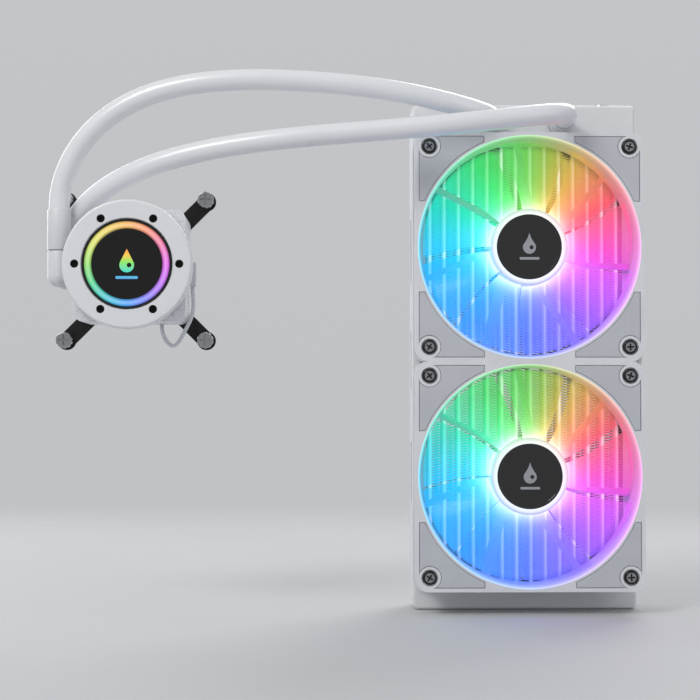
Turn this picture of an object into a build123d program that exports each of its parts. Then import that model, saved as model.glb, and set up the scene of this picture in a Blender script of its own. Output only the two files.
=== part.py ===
from build123d import *
import math
import os

# All-in-one liquid cooler for a computer processor: a 240 mm radiator standing on end with two
# 120 mm fans on its front, joined by two sleeved hoses to a round pump head at its left.
#
# Working frame, mm: x right, y up, z out of the front. Each piece is turned once at export so
# that +X is right, +Z up and the front faces -Y. The origin is on the radiator's back face, at
# the centre of the screw pattern, half way between the two fans.

# ---------------------------------------------------------------- driving dimensions
RAD_W = 120.0           # radiator width
RAD_T = 27.0            # radiator thickness
RAD_MID = RAD_T / 2
UPPER_TOP = 138.6       # upper tank, inlet and outlet
UPPER_HEADER = 116.5    # where the upper tank meets the core
LOWER_FOOT = -131.8     # lower tank
LOWER_HEADER = -117.5
TANK_WALL = 1.4
PLUG_X = 44.0           # fill plug
RAIL_T = 1.2            # side rail sheet
RAIL_FLANGE = 7.0
RAIL_HOLE_R = 1.75
PORT_X, PORT_Y = 19.0, 128.0    # spigots, either side of the centre line

TUBE_COUNT = 14
TUBE_PITCH = 7.74
TUBE_T = 2.0
TUBE_D = 20.0
FIN_STEP = 4.6          # half wave of the corrugated fin
FIN_T = 0.3
SIDE_GAP = 0.03         # clearance beside an outer fin, and at a rail's ends

FAN = 120.0
FAN_T = 25.0
FAN_PITCH = FAN
HOLE_PITCH = 105.0
HOLE = HOLE_PITCH / 2   # fan hole offset from the fan axis
FAN_SCREW_R = 1.65
DUCT_R = 56.9
MOUTH_R = 58.3
BLADE_R = 55.5
BLADE_COUNT = 9
BLADE_MID_Z = 13.4
HUB_R = 20.2
HUB_TOP = 23.6
BADGE_R = 17.1
BADGE_TOP = 23.75

SLEEVE_R = 5.4
HOSE_R = 4.75
HOSE_BORE_R = 3.1
HOSE_FOOT = RAD_T + 3.05
BARB_R = 3.0
BARB_STEM_R = BARB_R - 0.25
BARB_BORE_R = 2.1
FERRULE_R = 6.2
FERRULE_BORE_R = SLEEVE_R + 0.03

PUMP_X, PUMP_Y = -208.1, 49.2   # pump axis
PUMP_FOOT = 14.0        # contact face of the cold plate
PUMP_FACE = 70.0        # front of the cover
BODY = 58.0             # pump housing, a square with rounded corners
BODY_CORNER = 5.5
BIG_CORNER = 27.0       # upper left corner radius
HOUSING_TOP = 56.9
COVER_R = 33.1
COVER_FOOT = 57.0
CAP_R = 22.85
CAP_POCKET_R = CAP_R + 0.35
WINDOW_TOP = 69.75
COVER_SCREW_PCD = 53.4
BRACKET_Z = PUMP_FOOT + 4.02
BRACKET_T = 1.6
SOCKET = 75.0 / 2       # processor socket screw offset from the pump axis

# Elbow centres about the pump axis, and how far each elbow rises above its centre
FRONT_ELBOW, FRONT_RISE = Vector(-37.3, -4.7, 50.0), 12.7
REAR_ELBOW, REAR_RISE = Vector(-35.5, -5.0, 37.0), 8.0
ELBOW_R = 6.0
ELBOW_GROOVE_X = -26.4

CORNERS = [(-1, -1), (-1, 1), (1, -1), (1, 1)]

parts = {}


# ---------------------------------------------------------------- helpers
def rod(radius, z0, z1, x=0.0, y=0.0):
    return Pos(x, y, (z0 + z1) / 2) * Cylinder(radius, z1 - z0)


def rod_x(radius, x0, x1, y, z):
    return Pos((x0 + x1) / 2, y, z) * Rot(0, 90, 0) * Cylinder(radius, x1 - x0)


def rod_y(radius, y0, y1, x, z):
    return Pos(x, (y0 + y1) / 2, z) * Rot(90, 0, 0) * Cylinder(radius, y1 - y0)


def ring(outer, inner, z0, z1, x=0.0, y=0.0):
    return rod(outer, z0, z1, x, y) - rod(inner, z0 - 1, z1 + 1, x, y)


def block(x0, x1, y0, y1, z0, z1):
    """Box between two limits on each axis, given in either order."""
    centre = Pos((x0 + x1) / 2, (y0 + y1) / 2, (z0 + z1) / 2)
    return centre * Box(abs(x1 - x0), abs(y1 - y0), abs(z1 - z0))


def prism(sketch, z0, z1):
    return Pos(0, 0, z0) * extrude(sketch, z1 - z0)


def rounded_square(side, radius):
    return RectangleRounded(side, side, radius)


def hexagon(radius, z0, z1, x, y):
    return Pos(x, y, 0) * prism(RegularPolygon(radius, 6), z0, z1)


def polar(radius, degrees):
    angle = math.radians(degrees)
    return radius * math.cos(angle), radius * math.sin(angle)


def edges_at(shape, z):
    return [e for e in shape.edges() if abs(e.center().Z - z) < 0.01]


def cut_cross(screw, x, y, z, length, depth):
    """Cut a cross-shaped driver slot centred at z."""
    for size_x, size_y in ((length, 0.9), (0.9, length)):
        screw -= Pos(x, y, z) * Box(size_x, size_y, depth)
    return screw


def largest(shape):
    return max(shape.solids(), key=lambda s: s.volume)


def group(*shapes):
    return Compound(children=[Solid(s.wrapped) for shape in shapes for s in shape.solids()])


def swept(path, profile):
    return sweep(Plane(origin=path @ 0, z_dir=path % 0) * profile, path)


def lead(points, radius, tangents):
    path = Spline(*points, tangents=tangents, tangent_scalars=[1.0, 1.0])
    return swept(path, Circle(radius))


# ---------------------------------------------------------------- radiator tanks
tube_xs = [(i - (TUBE_COUNT - 1) / 2) * TUBE_PITCH for i in range(TUBE_COUNT)]
TUBE_BACK, TUBE_FRONT = RAD_MID - TUBE_D / 2, RAD_MID + TUBE_D / 2


def tank(header_y, far_y):
    """Hollow box, rounded on its far side, with the tube slots cut in its header face."""
    y0, y1 = sorted((header_y, far_y))
    box = block(-RAD_W / 2, RAD_W / 2, y0, y1, 0, RAD_T)
    box = fillet([e for e in box.edges().filter_by(Axis.Z) if abs(e.center().Y - far_y) < 0.1], 3.0)
    box = fillet([e for e in box.edges().filter_by(Axis.X) if abs(e.center().Y - far_y) < 0.1], 1.6)
    wall = TANK_WALL
    box -= block(-RAD_W / 2 + wall, RAD_W / 2 - wall, y0 + wall, y1 - wall, wall, RAD_T - wall)
    inward = math.copysign(1, far_y - header_y)
    slot_y = header_y - inward, header_y + inward * (wall + 0.5)
    gap = 0.02
    half = TUBE_T / 2 + gap
    for x in tube_xs:
        box -= block(x - half, x + half, *slot_y, TUBE_BACK - gap, TUBE_FRONT + gap)
    return box


def upper_tank():
    box = tank(UPPER_HEADER, UPPER_TOP)
    # wall between the inlet half and the outlet half
    box += block(-0.7, 0.7, UPPER_HEADER + 1.0, UPPER_TOP - 1.0, 1.0, RAD_T - 1.0)
    for x in (-PORT_X, PORT_X):
        box += rod(7.8, RAD_T - 1.4, RAD_T + 0.9, x, PORT_Y)    # raised seat round the port
        box -= rod(4.05, RAD_T - 3, RAD_T + 2, x, PORT_Y)
    return box - rod_y(3.05, UPPER_TOP - 3, UPPER_TOP + 1, PLUG_X, RAD_MID)


def fill_plug():
    seat = UPPER_TOP + 0.02
    plug = rod_y(3.0, UPPER_TOP - 2.6, seat, PLUG_X, RAD_MID)
    plug += rod_y(4.6, seat, UPPER_TOP + 1.8, PLUG_X, RAD_MID)
    socket = extrude(RegularPolygon(1.7, 6), 2.4)
    return plug - Pos(PLUG_X, UPPER_TOP + 2.5, RAD_MID) * Rot(90, 0, 0) * socket


parts["upper_tank"] = upper_tank()
parts["lower_tank"] = tank(LOWER_HEADER, LOWER_FOOT)
parts["fill_plug"] = fill_plug()


# ---------------------------------------------------------------- radiator core
def core_tube(x):
    """Flat tube whose ends reach just inside each tank."""
    y0, y1 = LOWER_HEADER - TANK_WALL - 0.3, UPPER_HEADER + TANK_WALL + 0.3
    place = Pos(x, (y0 + y1) / 2, RAD_MID) * Rot(90, 0, 0)
    outer = extrude(SlotOverall(TUBE_D, TUBE_T, rotation=90), (y1 - y0) / 2, both=True)
    bore = extrude(SlotOverall(TUBE_D - 0.8, TUBE_T - 0.8, rotation=90), y1 - y0, both=True)
    return place * outer - place * bore


def fin_strip(x_mid, width):
    """Zigzag fin, folded along y and filling the given width."""
    y0, y1 = LOWER_HEADER + 0.6, UPPER_HEADER - 0.6
    half_sheet = FIN_T / 2 / math.sin(math.atan2(FIN_STEP, width))
    reach = width / 2 - half_sheet
    folds = [(-reach if i % 2 else reach, y0 + i * FIN_STEP)
             for i in range(int((y1 - y0) / FIN_STEP) + 1)]
    left = [(x - half_sheet, y) for x, y in folds]
    right = [(x + half_sheet, y) for x, y in folds]
    face = make_face(Polyline(*(left + right[::-1]), close=True))
    return Pos(x_mid, 0, TUBE_BACK + 0.8) * extrude(face, TUBE_D - 1.6)


def core_fins():
    inner = fin_strip(0.0, TUBE_PITCH - TUBE_T - 2 * SIDE_GAP)
    strips = [Pos((i - TUBE_COUNT / 2) * TUBE_PITCH, 0, 0) * inner for i in range(1, TUBE_COUNT)]
    # the outer strips fill the space out to the side rails
    x_in = tube_xs[-1] + TUBE_T / 2 + SIDE_GAP
    x_out = RAD_W / 2 - RAIL_T - SIDE_GAP
    strips += [fin_strip(side * (x_in + x_out) / 2, x_out - x_in) for side in (-1, 1)]
    return group(*strips)


def side_rail(side):
    """Channel along the core; side is -1 for left, 1 for right."""
    y0, y1 = LOWER_HEADER + SIDE_GAP, UPPER_HEADER - SIDE_GAP
    x_outer = side * RAD_W / 2
    x_hole = side * HOLE
    hole_ys = [fan_y + offset for fan_y in (-FAN_PITCH / 2, FAN_PITCH / 2)
               for offset in (-HOLE, HOLE)]
    rail = block(x_outer, side * (RAD_W / 2 - RAIL_T), y0, y1, 0, RAD_T)
    for z0, z1 in ((0, RAIL_T), (RAD_T - RAIL_T, RAD_T)):
        flange = block(x_outer, side * (RAD_W / 2 - RAIL_FLANGE), y0, y1, z0, z1)
        for y in hole_ys:
            flange += rod(6.2, z0, z1, x_hole, y) & block(-60, 60, y0, y1, z0, z1)
        rail += flange
    # a collar inside each flange lengthens the hole
    for y in hole_ys:
        rail += rod(2.7, RAD_T - 2.4, RAD_T - 0.5, x_hole, y)
        rail += rod(2.7, 0.5, 2.4, x_hole, y)
    for y in hole_ys:
        rail -= rod(RAIL_HOLE_R, RAD_T - 4, RAD_T + 1, x_hole, y)
        rail -= rod(RAIL_HOLE_R, -1, 4, x_hole, y)
    for y in (-60, 0, 60):      # slots through the web
        slot = extrude(SlotOverall(36, 8, rotation=90), 3, both=True)
        rail -= Pos(side * 59.4, y, RAD_MID) * Rot(0, 90, 0) * slot
    outer = [e for e in rail.edges().filter_by(Axis.Y)
             if abs(e.center().X - x_outer) < 0.01 and e.length > 150]
    return fillet(outer, 0.9)


parts["core_tubes"] = group(*[core_tube(x) for x in tube_xs])
parts["core_fins"] = core_fins()
parts["left_side_rail"] = side_rail(-1)
parts["right_side_rail"] = side_rail(1)


# ---------------------------------------------------------------- spigots and hoses
def spigot(x):
    end = RAD_T + 16.5
    body = rod(4.0, RAD_T - 2.6, RAD_T + 1.0, x, PORT_Y)
    body += rod(6.0, RAD_T + 0.92, RAD_T + 3.0, x, PORT_Y)
    body += rod(BARB_STEM_R, RAD_T + 2.5, end, x, PORT_Y)
    for z in (6, 9.5, 13):
        body += Pos(x, PORT_Y, RAD_T + z + 1) * Cone(BARB_R, BARB_STEM_R, 2.0)
    return body - rod(BARB_BORE_R, RAD_T - 4, end + 1, x, PORT_Y)


# Stations (x, y, z) of each hose between its radiator port and its pump elbow
RETURN_STATIONS = [
    (-50.8, 134.9, 65.0), (-108.0, 142.6, 68.5), (-165.0, 143.2, 66.8),
    (-208.0, 132.8, 60.6), (-234.6, 111.2, 54.4),
]
SUPPLY_STATIONS = [
    (-20.2, 122.2, 78.6), (-83.0, 116.6, 76.0), (-135.7, 112.3, 71.0),
    (-180.0, 105.6, 62.6), (-214.2, 94.2, 52.2), (-236.0, 78.2, 42.0),
]


def hose_path(x, bend_z, stations, elbow, rise, straight):
    """Straight out of the port, through the stations, then straight down to the elbow."""
    elbow_x, elbow_top = PUMP_X + elbow.X, PUMP_Y + elbow.Y + rise
    bend = (x, PORT_Y, bend_z)
    drop = (elbow_x, elbow_top + straight, elbow.Z)
    return Wire([
        Line((x, PORT_Y, HOSE_FOOT), bend),
        Spline(bend, *stations, drop, tangents=[(0, 0, 1), (0, -1, 0)],
               tangent_scalars=[1.0, 1.0]),
        Line(drop, (elbow_x, elbow_top + 0.3, elbow.Z)),
    ])


def at_pump(shape):
    """Move a shape built about the pump axis into place."""
    return Pos(PUMP_X, PUMP_Y, 0) * shape


def port_ferrule(x, z1):
    return ring(FERRULE_R, FERRULE_BORE_R, HOSE_FOOT + 0.3, z1, x, PORT_Y)


def elbow_ferrule(elbow, rise, reach):
    y0, y1 = elbow.Y + rise + 0.6, elbow.Y + rise + reach
    sleeve = rod_y(FERRULE_R, y0, y1, elbow.X, elbow.Z)
    return at_pump(sleeve - rod_y(FERRULE_BORE_R, y0 - 1, y1 + 1, elbow.X, elbow.Z))


parts["tank_spigots"] = group(spigot(-PORT_X), spigot(PORT_X))
hose_paths = {
    "return_hose": hose_path(-PORT_X, 45.0, RETURN_STATIONS, FRONT_ELBOW, FRONT_RISE, 24.0),
    "supply_hose": hose_path(PORT_X, 56.0, SUPPLY_STATIONS, REAR_ELBOW, REAR_RISE, 9.5),
}
for name, path in hose_paths.items():
    parts[name] = largest(swept(path, Circle(HOSE_R) - Circle(HOSE_BORE_R)))
    parts[name + "_sleeve"] = largest(swept(path, Circle(SLEEVE_R) - Circle(HOSE_R + 0.02)))
parts["hose_ferrules"] = group(
    port_ferrule(-PORT_X, 43.6), port_ferrule(PORT_X, 46.5),
    elbow_ferrule(FRONT_ELBOW, FRONT_RISE, 21.5), elbow_ferrule(REAR_ELBOW, REAR_RISE, 9.3))

# ---------------------------------------------------------------- pump cold plate
# Pump pieces are built about the pump axis, with z as in the working frame.
PLATE_HOLES = [
    (23.2, 0), (-23.2, 0), (0, 23.2), (0, -23.2),
    (21.5, 21.5), (-21.5, 21.5), (21.5, -21.5), (-21.5, -21.5),
]


def cold_plate():
    plate = prism(rounded_square(54, 7), PUMP_FOOT + 1.2, PUMP_FOOT + 4.0)
    plate += prism(rounded_square(40, 3), PUMP_FOOT, PUMP_FOOT + 1.3)
    for x, y in PLATE_HOLES:
        plate -= rod(1.3, PUMP_FOOT - 1, PUMP_FOOT + 5, x, y)
        plate -= rod(2.5, PUMP_FOOT - 1, PUMP_FOOT + 2.3, x, y)
    for i in range(17):     # fins the coolant runs through
        x = (i - 8) * 1.6
        plate += block(x - 0.4, x + 0.4, -13, 13, PUMP_FOOT + 3.9, PUMP_FOOT + 6.6)
    return plate


def plate_screw(x, y):
    screw = rod(2.4, PUMP_FOOT + 0.9, PUMP_FOOT + 2.28, x, y)
    screw += rod(1.2, PUMP_FOOT + 2.2, PUMP_FOOT + 7.4, x, y)
    return screw - hexagon(1.25, PUMP_FOOT + 0.7, PUMP_FOOT + 1.6, x, y)


def plate_seal():
    outline = rounded_square(40.4, 4.4) - rounded_square(37.0, 2.7)
    return prism(outline, PUMP_FOOT + 4.02, PUMP_FOOT + 5.6)


parts["cold_plate"] = at_pump(cold_plate())
parts["cold_plate_screws"] = at_pump(group(*[plate_screw(x, y) for x, y in PLATE_HOLES]))
parts["cold_plate_seal"] = at_pump(plate_seal())


# ---------------------------------------------------------------- pump works
def corner_waste(radius):
    """What is cut from the upper left corner of the body to leave the given radius."""
    square = Pos(-BODY / 2, BODY / 2) * Rectangle(2 * BIG_CORNER, 2 * BIG_CORNER)
    return square - Pos(-BODY / 2 + BIG_CORNER, BODY / 2 - BIG_CORNER) * Circle(radius)


def pump_base():
    """Wet block: coolant chamber, impeller well, rotor can and the two port passages."""
    base = prism(rounded_square(50, 9), 18.02, 33.0) + rod(11.0, 32.5, 41.0)
    inside = prism(rounded_square(BODY - 4.8, 10.6) - corner_waste(24.5), 22.0, 60)
    base = (base & block(-30, 30, -30, 30, 17, 22.0)) + (base & inside)
    base += block(-28.8, -21.6, -15.5, 8.0, 20.2, 55.6)         # port block
    base = base - prism(rounded_square(40.8, 4.6) - rounded_square(36.6, 2.5), 17, 19.7)  # seal
    base -= block(-15.5, 15.5, -15.5, 15.5, 17, 21.2)           # chamber over the plate fins
    base -= rod(15.2, 22.6, 29.6)                               # impeller well
    base -= rod(3.4, 20, 24)                                    # eye of the impeller
    base -= rod(9.9, 29, 39.6)                                  # rotor can
    base -= rod(1.5, 39, 40.5)                                  # seat for the fixed shaft
    for x, y in PLATE_HOLES:
        base -= rod(1.22, 17, 21.7, x, y)
    for elbow in (FRONT_ELBOW, REAR_ELBOW):
        base -= rod_x(4.05, -30, -23.2, elbow.Y, elbow.Z)
    # riser from the well to the front port
    base -= rod(1.7, 24.6, 51.4, -25.2, -11.8)
    base -= block(-26.0, -8.0, -12.7, -10.9, 24.6, 27.6)
    base -= block(-24.5, -23.3, -12.5, -7.5, 47.5, 51.4)
    # drop from the rear port to the chamber
    base -= rod(1.8, 20.4, 37.5, -24.4, 4.2)
    base -= block(-24.5, -23.3, -4.0, 4.5, 35.0, 37.6)
    base -= block(-24.2, -15.0, 3.2, 5.2, 20.1, 21.2)
    return largest(base)


def impeller():
    wheel = rod(14.2, 28.0, 29.2) + rod(3.2, 24.0, 28.2)
    for k in range(6):
        vane = Rot(0, 0, 60 * k) * (Pos(9.2, 0, 25.75) * Rot(0, 0, 24) * Box(9.6, 1.1, 4.8))
        wheel += vane & rod(14.0, 23, 30)
    wheel += rod(9.2, 29.0, 31.0) + rod(4.6, 30.5, 38.4)        # magnet seat and spindle
    return largest(wheel - rod(1.55, 22, 40))


def pump_stator():
    z0, z1 = 34.2, 41.6
    core = ring(19.2, 17.0, z0, z1)
    coils = []
    for k in range(6):
        turn = Rot(0, 0, 60 * k)
        core += turn * block(12.4, 17.5, -2.1, 2.1, z0, z1)
        core += ring(13.4, 11.2, z0, z1) & (turn * block(8, 16, -5.0, 5.0, 34, 42))
        coil = block(13.7, 16.4, -3.9, 3.9, 33.4, 42.4) - block(13.0, 17.4, -2.2, 2.2, 34.1, 41.7)
        coils.append(turn * coil)
    return group(core, *coils)


def pump_board():
    board = largest(rod(25.4, 51.0, 52.6) - block(-30, -21.3, -16.2, 9, 50, 54))
    lights = [Pos(*polar(19.8, angle), 53.4) * Rot(0, 0, angle) * Box(3.5, 3.5, 1.56)
              for angle in range(15, 360, 30)]
    front_chip = block(-6, 6, -4, 4, 52.62, 53.9)
    back_block = block(8, 14, -12, -6, 48.2, 50.98)
    return group(board, *lights, front_chip, back_block)


parts["pump_base"] = at_pump(pump_base())
parts["impeller"] = at_pump(impeller())
parts["impeller_magnet"] = at_pump(ring(9.3, 4.65, 31.05, 38.4))
parts["impeller_shaft"] = at_pump(rod(1.49, 23.2, 40.45))
parts["pump_stator"] = at_pump(pump_stator())
parts["pump_board"] = at_pump(pump_board())


# ---------------------------------------------------------------- pump housing and cover
def port_opening(z0, z1):
    return block(-31, -25.6, -16.2, 8.7, z0, z1)


def pump_housing():
    outline = rounded_square(BODY, BODY_CORNER)
    housing = prism(outline - corner_waste(BIG_CORNER), 22.2, HOUSING_TOP)
    inside = rounded_square(BODY - 4.4, BODY_CORNER - 2.2) - corner_waste(24.8)
    housing = largest(housing - prism(inside, 21.0, 57.5))
    housing = largest(housing - port_opening(21, 58))
    # shoulders that close the corners outside the cover
    shoulders = prism(outline - Circle(30.4), 54.8, HOUSING_TOP)
    housing += shoulders - prism(corner_waste(BIG_CORNER), 54, 58) - port_opening(54, 58)
    for x, y in ((21.6, 21.6), (21.6, -21.6), (-21.6, -21.6)):
        housing += ring(3.4, 1.3, 44.0, HOUSING_TOP, x, y) & prism(outline, 40, 60)
        housing -= rod(1.3, 44.0, 57.5, x, y)
    return largest(housing - block(11.5, 17.5, -31, -24, 26.5, 31.5))   # lead outlet


COVER_HOLES = [polar(COVER_SCREW_PCD / 2, 60 * k) for k in range(6)]


def cover_ring():
    cover = rod(COVER_R, COVER_FOOT, PUMP_FACE)
    cover = fillet(edges_at(cover, PUMP_FACE), 1.3)
    cover -= rod(CAP_POCKET_R, 63.0, PUMP_FACE + 1)
    cover -= rod(19.5, COVER_FOOT - 1, 64)
    # shadow line over the housing
    cover -= ring(COVER_R + 1, COVER_R - 1.0, COVER_FOOT - 1, COVER_FOOT + 2.2)
    pocket_rim = [e for e in edges_at(cover, PUMP_FACE)
                  if e.geom_type == GeomType.CIRCLE and abs(e.radius - CAP_POCKET_R) < 0.01]
    cover = chamfer(pocket_rim, 0.5)
    for x, y in COVER_HOLES:
        cover -= rod(2.15, 66.6, PUMP_FACE + 1, x, y)
        cover -= rod(1.35, COVER_FOOT - 1, 67, x, y)
    return cover


def cover_screw(x, y):
    screw = rod(2.0, 66.65, 68.6, x, y) + rod(1.25, COVER_FOOT + 0.4, 66.8, x, y)
    return screw - hexagon(1.1, 67.7, 68.9, x, y)


def cap_bezel():
    bezel = rod(CAP_R, 63.1, PUMP_FACE) - rod(21.75, 66.0, PUMP_FACE + 1)
    bezel -= rod(17.0, 62, 64.6)
    # skirt and snap lip under the cover
    bezel += ring(19.3, 18.4, 56.0, 63.5) + ring(20.4, 18.4, 56.0, 56.7)
    return chamfer(edges_at(bezel, PUMP_FACE), 0.3)


def cap_window():
    window = rod(18.1, 66.03, WINDOW_TOP)
    return fillet(edges_at(window, WINDOW_TOP), 0.35)


def droplet(height):
    """A plain water drop, point upward."""
    radius = height * 0.31
    centre_y = -height / 2 + radius
    tip = (0, height / 2)
    side_x, side_y = polar(radius, 28)
    left, right = (-side_x, centre_y + side_y), (side_x, centre_y + side_y)
    bottom = ThreePointArc(right, (0, centre_y - radius), left)
    return make_face([Line(left, tip), Line(tip, right), bottom])


def emblem(height, z0, z1):
    """Droplet with a round hole, over a short bar."""
    drop = droplet(height) - Pos(height * 0.1, -height * 0.19) * Circle(height * 0.1)
    bar = RectangleRounded(height * 0.95, height * 0.12, height * 0.055)
    return group(prism(drop, z0, z1), prism(Pos(0, -height * 0.72) * bar, z0, z1))


parts["pump_housing"] = at_pump(pump_housing())
parts["cover_ring"] = at_pump(cover_ring())
parts["cover_screws"] = at_pump(group(*[cover_screw(x, y) for x, y in COVER_HOLES]))
parts["cap_bezel"] = at_pump(cap_bezel())
parts["cap_light_ring"] = at_pump(ring(21.7, 18.15, 66.03, 69.85))
parts["cap_window"] = at_pump(cap_window())
parts["cap_emblem"] = at_pump(Pos(0, 1.6, 0) * emblem(12.0, WINDOW_TOP + 0.02, 69.95))


# ---------------------------------------------------------------- socket bracket
def socket_bracket():
    top = BRACKET_Z + BRACKET_T
    opening = prism(rounded_square(50.6, 9.3), 17, 21)
    bracket = prism(rounded_square(57, 8), BRACKET_Z, top) - opening
    root = 25.6     # each arm runs from the frame's corner out to its screw
    for side_x, side_y in CORNERS:
        middle = (root + SOCKET) / 2
        length = math.hypot(SOCKET - root, SOCKET - root)
        angle = math.degrees(math.atan2(side_y, side_x))
        place = Pos(side_x * middle, side_y * middle, BRACKET_Z + BRACKET_T / 2)
        bracket += place * Rot(0, 0, angle) * Box(length, 9.0, BRACKET_T)
        bracket += rod(5.0, BRACKET_Z, top, side_x * SOCKET, side_y * SOCKET)
    bracket -= opening
    for side_x, side_y in CORNERS:
        bracket -= rod(2.1, 17, 21, side_x * SOCKET, side_y * SOCKET)
    return largest(bracket)


def bracket_screw(x, y):
    """Thumbscrew with a fluted head."""
    screw = rod(4.3, 26.6, 31.6, x, y)
    screw = fillet(edges_at(screw, 31.6), 0.6)
    for k in range(10):
        flute_x, flute_y = polar(4.4, 36 * k)
        screw -= rod(0.5, 26, 32, x + flute_x, y + flute_y)
    screw += rod(1.9, 16.6, 26.8, x, y) + rod(1.5, 8.0, 17.0, x, y)
    screw += ring(3.1, 1.8, 16.9, 17.7, x, y)       # clip that keeps it on the bracket
    return cut_cross(screw, x, y, 30.6, 5.6, 2.4)


def bracket_spring(x, y):
    helix = Pos(x, y, BRACKET_Z + 2.0) * Helix(pitch=1.55, height=6.1, radius=2.75)
    profile = Plane(origin=helix @ 0, z_dir=helix % 0) * Circle(0.34)
    return sweep(profile, helix, is_frenet=True)


socket_points = [(side_x * SOCKET, side_y * SOCKET) for side_x, side_y in CORNERS]
parts["socket_bracket"] = at_pump(socket_bracket())
parts["bracket_screws"] = at_pump(group(*[bracket_screw(x, y) for x, y in socket_points]))
parts["bracket_springs"] = at_pump(group(*[bracket_spring(x, y) for x, y in socket_points]))


# ---------------------------------------------------------------- elbows and pump lead
def elbow_fitting(elbow, rise, barb_length):
    """Elbow from the pump's left side, turned upright and ending in a barbed stem."""
    x, y, z = elbow.X, elbow.Y, elbow.Z
    top = y + rise
    body = Pos(x, y, z) * Sphere(ELBOW_R)
    body += rod_y(ELBOW_R, y, top, x, z)
    body += rod_x(4.0, x, -24.4, y, z)
    body += rod_x(ELBOW_R - 0.5, x, -29.3, y, z)
    body += rod_y(BARB_STEM_R, top - 0.5, top + barb_length, x, z)
    count = int(barb_length / 4)
    for i in range(count):
        barb_y = top + 2.0 + i * (barb_length - 2.5) / count
        body += Pos(x, barb_y + 0.9, z) * Rot(-90, 0, 0) * Cone(BARB_R, BARB_STEM_R, 1.8)
    body -= rod_y(BARB_BORE_R, y, top + barb_length + 1, x, z)
    body -= rod_x(2.4, x, -23.0, y, z)
    groove = rod_x(4.3, ELBOW_GROOVE_X - 0.75, ELBOW_GROOVE_X + 0.75, y, z)
    body -= groove - rod_x(3.2, ELBOW_GROOVE_X - 1, ELBOW_GROOVE_X + 1, y, z)
    return largest(body)


def elbow_seal(elbow):
    return Pos(ELBOW_GROOVE_X, elbow.Y, elbow.Z) * Rot(0, 90, 0) * Torus(3.6, 0.38)


# Stations (x, y, z) about the pump axis
PUMP_LEAD = [
    (14.5, -25.6, 29), (15.0, -34.0, 29.5), (20.6, -40.6, 30.5),
    (25.8, -34.5, 31), (31.2, -22.0, 34), (31.3, -10.0, 38),
]


def pump_plug():
    plug = block(29.5, 33.0, -9.4, 3.0, 34.2, 41.8)
    for k in range(3):
        plug -= block(32.6, 33.5, -7.0, 1.8, 35.4 + k * 2.2, 36.6 + k * 2.2)
    return plug


parts["front_elbow"] = at_pump(elbow_fitting(FRONT_ELBOW, FRONT_RISE, 17.0))
parts["rear_elbow"] = at_pump(elbow_fitting(REAR_ELBOW, REAR_RISE, 8.2))
parts["elbow_seals"] = at_pump(group(elbow_seal(FRONT_ELBOW), elbow_seal(REAR_ELBOW)))
parts["pump_lead"] = at_pump(group(lead(PUMP_LEAD, 1.05, [(0, -1, 0), (0, 1, 0.25)])))


# ---------------------------------------------------------------- fans
# Built about their own axis, with z from 0 at the back.
def pad_outline(side_x, side_y, grow=0.0):
    """Corner pad, bounded by the duct, the frame's edge and the screw boss."""
    low, high = 24.0 - grow, 57.7 + grow
    middle = (low + high) / 2
    pad = Pos(side_x * middle, side_y * middle) * Rectangle(high - low, high - low)
    pad -= Circle(59.9 - grow)
    pad -= Pos(side_x * HOLE, side_y * HOLE) * Circle(6.1 - grow)
    return max(pad.faces(), key=lambda f: f.area)


def fan_frame():
    outline = rounded_square(FAN, 7.0)
    body = prism(outline, 0, 4.2) + prism(outline, FAN_T - 4.2, FAN_T) + rod(59.2, 3, FAN_T - 3)
    for side_x, side_y in CORNERS:
        body += rod(4.6, 2, FAN_T - 2, side_x * HOLE, side_y * HOLE)
        rib = Rot(0, 0, 45 * side_x * side_y) * Box(12, 2.0, FAN_T - 4)
        body += Pos(side_x * (HOLE - 4.5), side_y * (HOLE - 4.5), FAN_T / 2) * rib
    # duct, flared at both ends
    body -= rod(DUCT_R, -1, FAN_T + 1)
    body -= Pos(0, 0, FAN_T - 2.2) * Cone(DUCT_R - 0.01, MOUTH_R, 4.42)
    body -= Pos(0, 0, 1.1) * Cone(MOUTH_R, DUCT_R - 0.01, 2.22)
    # recesses for the corner pads, and the screw holes
    for side_x, side_y in CORNERS:
        x, y = side_x * HOLE, side_y * HOLE
        for z in (FAN_T - 1.0, -1.0):
            body -= Pos(0, 0, z) * extrude(pad_outline(side_x, side_y, 0.35), 2)
        body -= rod(2.15, -1, FAN_T + 1, x, y)
        body -= rod(4.35, FAN_T - 1.6, FAN_T + 1, x, y)
    # motor mount, bearing tube and the struts that hold it; the last strut is wider
    mount = rod(20.0, 0.3, 2.6) + rod(5.3, 2.4, 14.5)
    for k in range(7):
        strut = Pos(38.5, 0, 2.2) * Rot(0, 0, 11) * Box(40, 5.2 if k == 6 else 3.0, 3.8)
        mount += (Rot(0, 0, 360 / 7 * k - 64) * strut) & rod(58.0, 0, 5)
    body += mount
    return largest(body - rod(3.96, 1.5, 20))


# Blade stations: radius, stagger (degrees), chord, camber, thickness, skew
BLADE_STATIONS = [
    (18.9, 44, 16.5, 1.5, 2.0, 0.5),
    (31, 35, 25.0, 2.2, 1.8, 1.6),
    (44, 26, 33.5, 2.5, 1.6, 4.6),
    (58, 20, 43.0, 2.5, 1.5, 9.0),
]


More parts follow.
